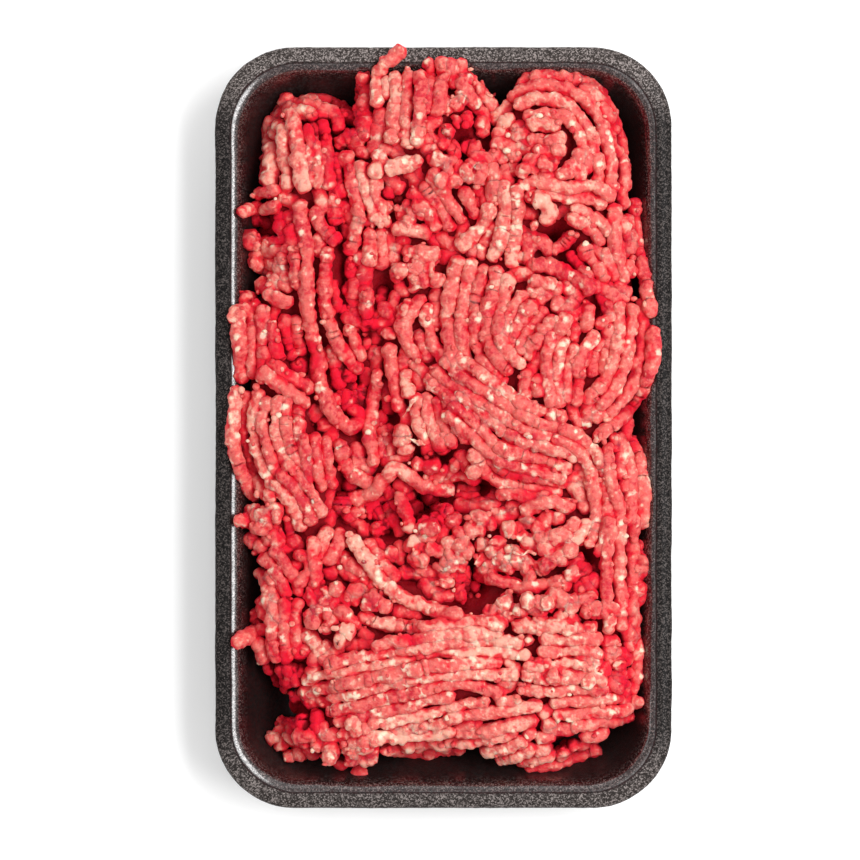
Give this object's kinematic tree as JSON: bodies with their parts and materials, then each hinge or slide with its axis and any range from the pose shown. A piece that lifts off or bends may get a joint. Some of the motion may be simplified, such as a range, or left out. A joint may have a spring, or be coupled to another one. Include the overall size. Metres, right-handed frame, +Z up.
{
  "type": "minced meat tray pack",
  "caption": "Rectangular foam tray with rounded corners and a wide rim, heaped with raw minced meat in strands.",
  "frame": {"origin": "middle of the tray's flat underside", "axes": "+Z up, +Y along the tray's longer side, +X across it"},
  "size_m": [0.135, 0.225, 0.0353],
  "materials": {
    "foam": "dark grey expanded foam with a fine speckle of cells, matte on the rim, smoother at the inner lip",
    "meat": "raw mince, salmon red with cream flecks of fat, deep crimson in the gaps, moist"
  },
  "bodies": {
    "root": {"tray": "foam", "mince": "meat"}
  },
  "joints": []
}
